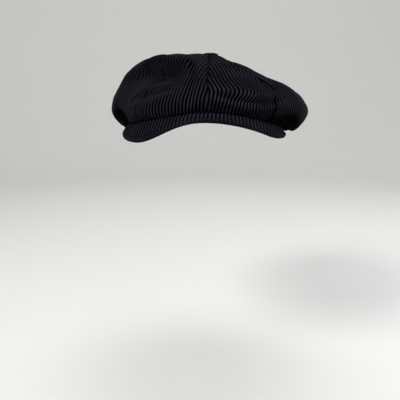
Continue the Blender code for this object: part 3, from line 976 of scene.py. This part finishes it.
BUTTON_STEPS = 120
BUTTON_RINGS = 26
BUTTON_BEND = (0.06 * math.pi, 0.92 * math.pi)  # from the dome's top round to under its rim
BUTTON_FULLNESS = 0.75  # below 1, the dome is flatter than a ball
BUTTON_MIDDLE = 0.38  # height of the rim in shares of the button's
BUTTON_HALF_RISE = 0.50
BUTTON_PLEATS = 14
BUTTON_PLEAT_DEPTH = 0.055
BUTTON_GATHER = (0.40 * math.pi, 0.62 * math.pi)
BUTTON_WALE_TURN = 0.4
BUTTON_WALE_DEPTH = 0.55 * MM


def build_button():
    """Covered button: a dome of corduroy, gathered under its rim."""
    centre = 0.5 * (button_lo + button_hi)
    radius = 0.5 * (button_hi[0] - button_lo[0])
    rise = button_hi[2] - button_lo[2]
    turn = np.arange(BUTTON_STEPS) * math.tau / BUTTON_STEPS
    bend, round_turn = np.meshgrid(np.linspace(*BUTTON_BEND, BUTTON_RINGS), turn, indexing="ij")
    gathered = ramp(bend, *BUTTON_GATHER)
    pleat = 0.5 + 0.5 * np.cos(BUTTON_PLEATS * round_turn)
    out = radius * np.sin(bend) ** BUTTON_FULLNESS * (1.0 - BUTTON_PLEAT_DEPTH * gathered * pleat)
    side, ahead = out * np.sin(round_turn), -out * np.cos(round_turn)
    lateral = side * math.cos(BUTTON_WALE_TURN) + ahead * math.sin(BUTTON_WALE_TURN)
    wale = wale_profile(lateral, WALE_PITCH)
    lift = BUTTON_WALE_DEPTH * (wale - 0.5) * (1.0 - 0.6 * gathered)
    swell = 1.0 + lift / radius
    height = button_lo[2] + BUTTON_MIDDLE * rise + BUTTON_HALF_RISE * rise * np.cos(bend)
    rings = np.stack((centre[0] + side * swell, centre[1] + ahead * swell, height + lift), axis=2)
    top = (centre[0], centre[1], height.max() + 0.2 * MM)
    foot = (centre[0], centre[1], height.min() + 0.6 * MM)
    points = np.concatenate((rings.reshape(-1, 3), [top, foot]))
    faces = grid_faces(BUTTON_RINGS, BUTTON_STEPS, closed=True)
    last = (BUTTON_RINGS - 1) * BUTTON_STEPS
    crest, base = len(points) - 2, len(points) - 1
    for step in range(BUTTON_STEPS):
        after = (step + 1) % BUTTON_STEPS
        faces.append((crest, step, after))
        faces.append((base, last + after, last + step))
    values = cloth_values(wale, side, ahead, rest=(0.8, 0.2))
    cover = add_piece("corduroy_button", points, faces, CORDUROY, values)
    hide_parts("button_cover")
    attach(cover, "button")


build_button()


# ---- lining

LINING_INSET = HEM_HALF[0] - sweat_hi[0] - 1.3 * MM
LINING_THICKNESS = 0.5 * MM
LINING_DROP = 5.5 * MM  # below the crown
LINING_IN = 4.0 * MM  # inside the crown at the shoulder
LINING_TIP = 6.0 * MM
LINING_BEND = (1.5 * MM, 24.5 * MM)  # fullest point: outside the stay, and its height
LINING_SLIDE = 0.5  # it follows the crown's slide over this share
LINING_SLACK = (0.05, 0.20, 0.50, 0.62)  # shares where the slack cloth starts and ends
LINING_PUCKER = 0.9 * MM  # its seams stand this high
LINING_PUCKER_POWER = 40
LINING_COLUMNS, LINING_ROWS = 32, 72


def lining_surface(turns, shares):
    """Outer face of the lining: up inside the stay, over the head, to a tip below the button."""
    share, turn = (grid.ravel() for grid in np.meshgrid(shares, turns, indexing="ij"))
    azimuth = seam_azimuth(turn)
    stations = crown_stations(azimuth)
    edge = hem_radius(azimuth, LINING_INSET)
    stay_top = stay_hi[2]
    fullest = np.minimum(stations[3][:, 0] - LINING_IN, edge + LINING_BEND[0])
    rows = [
        station(azimuth, LINING_TIP, TIP_HEIGHT - LINING_DROP),
        stations[1] - (0.0, LINING_DROP),
        stations[2] - (LINING_IN, LINING_DROP),
        station(azimuth, fullest, LINING_BEND[1]),
        station(azimuth, edge, stay_top + 0.7 * MM),
        station(azimuth, edge, 0.5 * stay_top),
        station(azimuth, edge, HEM_HEIGHT),
    ]
    point = spline(np.stack(rows), share)
    shift = AXIS_X * np.maximum(0.0, 1.0 - share / LINING_SLIDE)
    shape = (len(shares), len(turns))
    flat = polar_points(azimuth, *point.T, shift)
    slack = ramp(share, *LINING_SLACK[:2]) * (1.0 - ramp(share, *LINING_SLACK[2:]))
    crumple = 0.55 * MM * waves(flat, QUICK_WAVES) + 0.8 * MM * waves(flat, SLOW_WAVES) - 1.6 * MM
    seam = LINING_PUCKER * np.abs(np.cos(0.5 * len(SIDES) * turn)) ** LINING_PUCKER_POWER
    grid = flat.reshape(shape + (3,))
    return grid + grid_normals(grid) * ((crumple + seam) * slack).reshape(shape + (1,))


def build_gore(index, side):
    start = index * PANEL_ANGLE
    step = PANEL_ANGLE / LINING_COLUMNS
    turns = np.linspace(start - step, start + PANEL_ANGLE + step, LINING_COLUMNS + 3)
    grid = lining_surface(turns, np.linspace(0.0, 1.0, LINING_ROWS + 1))
    outer = grid[:, 1:-1]
    inner = outer - grid_normals(grid)[:, 1:-1] * LINING_THICKNESS
    points, faces = shell(outer, inner, 1, 1)
    gore = add_piece("satin_gore_" + side, points, faces, SATIN)
    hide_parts("lining_gore_" + side)
    fasten(gore, "front" in side)


for index, side in enumerate(SIDES):
    build_gore(index, side)


# ---- bands

BAND_STEPS = 288
BAND_ARC_STEPS = 8  # round the top and the foot of a band
BAND_SIDE_STEPS = 6
BAND_EASE = 0.3  # how far the fuller top carries on below, in its own shares
BAND_RIPPLES = (37.0, 11.0)
SWEAT_INSET = HEM_HALF[0] - sweat_hi[0]
SWEAT_THICKNESS = 1.1 * MM
SWEAT_ROLL = 0.25 * MM  # its turned top edge is this much fuller
STAY_THICKNESS = 0.8 * MM


def build_ring(name, section, look, replaces, ripple=0.0):
    """Ring round the head opening; section is a closed outline of (inset from the hem, height)."""
    turn = np.arange(BAND_STEPS) * math.tau / BAND_STEPS
    lift = ripple * np.prod([np.sin(count * turn) for count in BAND_RIPPLES], axis=0)
    rows = [polar_points(turn, hem_radius(turn, inset), height + lift) for inset, height in section]
    faces = grid_faces(len(section) + 1, BAND_STEPS, closed=True)
    total = len(section) * BAND_STEPS
    faces = [tuple(corner % total for corner in face) for face in faces]
    ring = add_piece(name, np.concatenate(rows), faces, look)
    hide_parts(replaces)
    fasten(ring, True)


def band_section(outer, thickness, low, high, roll):
    """Outline of a strip of cloth: straight sides, rounded top and foot; runs down its outside."""
    half = 0.5 * thickness
    mid = outer + half
    arc = [math.pi * step / BAND_ARC_STEPS for step in range(BAND_ARC_STEPS + 1)]
    drops = [(high - low) * step / BAND_SIDE_STEPS for step in range(1, BAND_SIDE_STEPS)]
    top = half + roll
    outline = [(mid + top * math.cos(angle), high + top * math.sin(angle)) for angle in arc]
    outline += [(outer - BAND_EASE * roll, high - drops[0])]
    outline += [(outer, high - drop) for drop in drops[1:]]
    outline += [(mid - half * math.cos(angle), low - half * math.sin(angle)) for angle in arc]
    outline += [(outer + thickness, low + drop) for drop in drops]
    return outline


build_ring(
    "canvas_stay",
    band_section(HEM_OUT, STAY_THICKNESS, stay_lo[2] + 0.6 * MM, stay_hi[2] - 0.5 * MM, roll=0.0),
    CANVAS, "band_stay")
build_ring(
    "twill_sweatband",
    band_section(SWEAT_INSET, SWEAT_THICKNESS, sweat_lo[2] + 0.6 * MM, sweat_hi[2] - 0.8 * MM, SWEAT_ROLL),
    TWILL, "sweatband", ripple=0.15 * MM)


# ---- stitches

STITCH_GAP = 0.9 * MM
STITCH_RADIUS = 0.28 * MM
STITCH_SECTIONS = 6  # along a stitch
STITCH_CORNERS = 6  # round it
STITCH_LOOK_AHEAD = 0.3 * MM
VISOR_STITCH = 2.6 * MM
SWEAT_STITCH = 2.2 * MM
SWEAT_ROWS = {"lower": (2.6 * MM, 0.02 * MM), "upper": (19.2 * MM, 0.05 * MM)}  # height, lift
EDGE_STITCH_DEPTH = 0.75 * MM  # the stitches lie this far down in their groove


def stitch_row(name, points, normals, length):
    """Raised stitches along a line of points, as one piece of thread."""
    run = travelled(points)

    def sample(values, at):
        return np.array([np.interp(at, run, values[:, axis]) for axis in range(3)])

    verts, faces = [], []
    place = 0.5 * STITCH_GAP
    while place + length < run[-1]:
        first = len(verts)
        for section in range(STITCH_SECTIONS):
            t = section / (STITCH_SECTIONS - 1)
            at = place + length * t
            centre, normal = sample(points, at), sample(normals, at)
            side = unit(np.cross(normal, sample(points, at + STITCH_LOOK_AHEAD) - centre))
            lift = STITCH_RADIUS * (1.5 * math.sin(math.pi * t) - 0.9)
            thick = STITCH_RADIUS * (0.45 + 0.55 * math.sin(math.pi * t))
            for corner in range(STITCH_CORNERS):
                angle = math.tau * corner / STITCH_CORNERS
                up = lift + thick * math.sin(angle)
                verts.append(centre + normal * up + side * thick * math.cos(angle))
        faces += grid_faces(STITCH_SECTIONS, STITCH_CORNERS, first, flip=True, closed=True)
        end = len(verts) - STITCH_CORNERS
        faces.append(tuple(first + corner for corner in reversed(range(STITCH_CORNERS))))
        faces.append(tuple(end + corner for corner in range(STITCH_CORNERS)))
        place += length + STITCH_GAP
    return add_piece(name, verts, faces, THREAD)


def visor_stitches():
    turn = np.linspace(-0.985, 0.985, 600)
    point, normal, outward = visor_frame(turn, np.ones(len(turn)))
    back = STITCH_IN - 0.5 * math.pi * EDGE_RADIUS + EDGE_RADIUS
    line = point + normal * (EDGE_RADIUS - EDGE_STITCH_DEPTH) - outward * back
    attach(stitch_row("visor_stitching", line, normal, VISOR_STITCH), "visor")


def sweatband_stitches():
    """Rows of stitches round the sweatband, inside, above its foot and below its top."""
    turn = np.linspace(-math.pi, math.pi, 900)
    inward = np.column_stack((-np.sin(turn), np.cos(turn), np.zeros(len(turn))))
    for title, (height, lift) in SWEAT_ROWS.items():
        radius = hem_radius(turn, SWEAT_INSET + SWEAT_THICKNESS + lift)
        line = polar_points(turn, radius, height)
        fasten(stitch_row("sweatband_stitching_" + title, line, inward, SWEAT_STITCH), True)


visor_stitches()
sweatband_stitches()


# ---- nodes kept from the CAD

for node, look in (
    ("visor_board", BOARD), ("button_shell", STEEL), ("button_back_plate", STEEL),
    ("button_shank", THREAD), ("button_retainer", THREAD), ("button_washer", FELT), ("label", LABEL),
):
    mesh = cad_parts[node].data
    mesh.materials.clear()
    mesh.materials.append(look)


# ---- stage

FLOOR_DROP = 0.310  # the cap is worn this far above the table
FLOOR_RADIUS = 0.6
WALL_RADIUS, WALL_BEND, WALL_HEIGHT = 2.4, 0.9, 2.2
WALL_STEPS = 96
BEND_STEPS = 12
BACKDROP = plain("Pale backdrop", (0.58, 0.576, 0.563, 1.0), 0.9)
CAMERA_DISTANCE = 0.66
CAMERA_HEIGHT = 14.5 * MM
CAMERA_AZIMUTH = math.radians(2.0)
CAMERA_PITCH = math.radians(11.0)
CAMERA_AIM = math.radians(0.72)  # the lens points this far to the left of the cap
HALF_WIDTH = 0.37736  # half the picture's width, at one metre
# Lamps: place, target, diameter in metres, watts, colour.
LAMPS = {
    "Key": ((-0.75, -0.90, 0.95), (0.0, 0.0, 0.02), 0.5, 24.0, (1.0, 0.985, 0.96)),
    "Fill": ((1.35, -0.05, 0.55), (0.0, 0.0, 0.0), 0.6, 19.0, (0.94, 0.97, 1.0)),
    "Top": ((0.10, 0.30, 1.30), (0.0, 0.0, 0.0), 0.8, 6.0, (1.0, 1.0, 1.0)),
    "Wall": ((0.0, 0.70, 1.70), (0.0, 2.4, 0.3), 1.2, 18.0, (1.0, 1.0, 1.0)),
}
SKY_COLOUR, SKY_STRENGTH = (0.62, 0.63, 0.65, 1.0), 0.40


def build_stage():
    """Pale floor that curves up into a round wall."""
    bend = [0.5 * math.pi * step / BEND_STEPS for step in range(BEND_STEPS + 1)]
    inner, raised = WALL_RADIUS - WALL_BEND, WALL_BEND - FLOOR_DROP
    profile = [(0.0, -FLOOR_DROP), (FLOOR_RADIUS, -FLOOR_DROP)]
    profile += [
        (inner + WALL_BEND * math.sin(angle), raised - WALL_BEND * math.cos(angle)) for angle in bend]
    profile.append((WALL_RADIUS, WALL_HEIGHT))
    turns = [math.tau * step / WALL_STEPS for step in range(WALL_STEPS)]
    points = [
        (radius * math.cos(turn), radius * math.sin(turn), height)
        for radius, height in profile for turn in turns]
    faces = grid_faces(len(profile), WALL_STEPS, closed=True)
    new_object("Backdrop", new_mesh("Backdrop", points, faces, BACKDROP))


def add_lamp(name, location, target, size, power, colour):
    lamp = bpy.data.lights.new(name, "AREA")
    lamp.shape = "DISK"
    lamp.size = size
    lamp.energy = power
    lamp.color = colour
    obj = new_object(name, lamp)
    obj.location = location
    obj.rotation_euler = (Vector(target) - Vector(location)).to_track_quat("-Z", "Y").to_euler()


def build_lights():
    for name, lamp in LAMPS.items():
        add_lamp(name, *lamp)
    world = bpy.data.worlds.new("Studio")
    bpy.context.scene.world = world
    world.use_nodes = True
    background = world.node_tree.nodes["Background"]
    background.inputs["Color"].default_value = SKY_COLOUR
    background.inputs["Strength"].default_value = SKY_STRENGTH


def build_camera():
    lens = bpy.data.cameras.new("Camera")
    lens.sensor_width = 36.0
    lens.angle = 2.0 * math.atan(HALF_WIDTH)
    camera = new_object("Camera", lens)
    camera.location = (
        CAMERA_DISTANCE * math.sin(CAMERA_AZIMUTH),
        -CAMERA_DISTANCE * math.cos(CAMERA_AZIMUTH),
        CAMERA_HEIGHT,
    )
    camera.rotation_euler = (0.5 * math.pi - CAMERA_PITCH, 0.0, CAMERA_AZIMUTH + CAMERA_AIM)
    bpy.context.scene.camera = camera


build_stage()
build_lights()
build_camera()
bpy.context.scene.view_settings.view_transform = "Standard"
